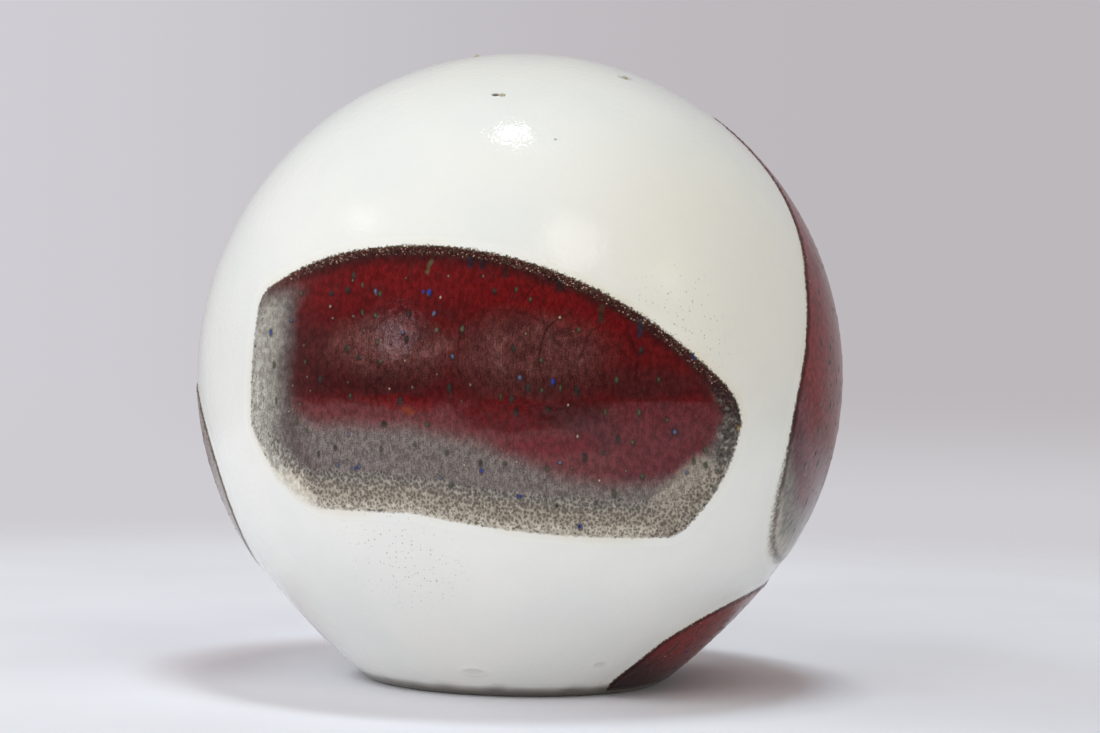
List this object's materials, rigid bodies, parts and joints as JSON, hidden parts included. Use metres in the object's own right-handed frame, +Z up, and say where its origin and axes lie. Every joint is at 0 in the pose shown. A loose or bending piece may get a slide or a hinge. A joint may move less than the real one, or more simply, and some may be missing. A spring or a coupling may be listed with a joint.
{
  "type": "glazed ceramic ball",
  "caption": "Hollow glazed stoneware ball on a small flattened foot, white gloss glaze with broad copper-red brush strokes; decorative garden or table ball",
  "frame": {"origin": "middle of the flat foot, on the surface that the ball stands on", "axes": "+Z up, the front brush stroke faces -Y, +X to the viewer's right"},
  "size_m": [0.0924, 0.0924, 0.0895],
  "materials": {
    "white_glaze": "gloss",
    "copper_red_glaze": "gloss",
    "clay_body": "matte",
    "slip": "matte",
    "stilt_grit": "matte"
  },
  "bodies": {
    "root": {"upper_clay_half": "clay_body", "lower_clay_half": "clay_body", "joining_slip": "slip", "seam_coil": "clay_body", "white_glaze_coat": "white_glaze", "stilt_crumbs": "stilt_grit", "front_stroke": "copper_red_glaze", "right_stroke": "copper_red_glaze", "lower_right_stroke": "copper_red_glaze", "left_stroke": "copper_red_glaze", "back_stroke": "copper_red_glaze"}
  },
  "joints": []
}
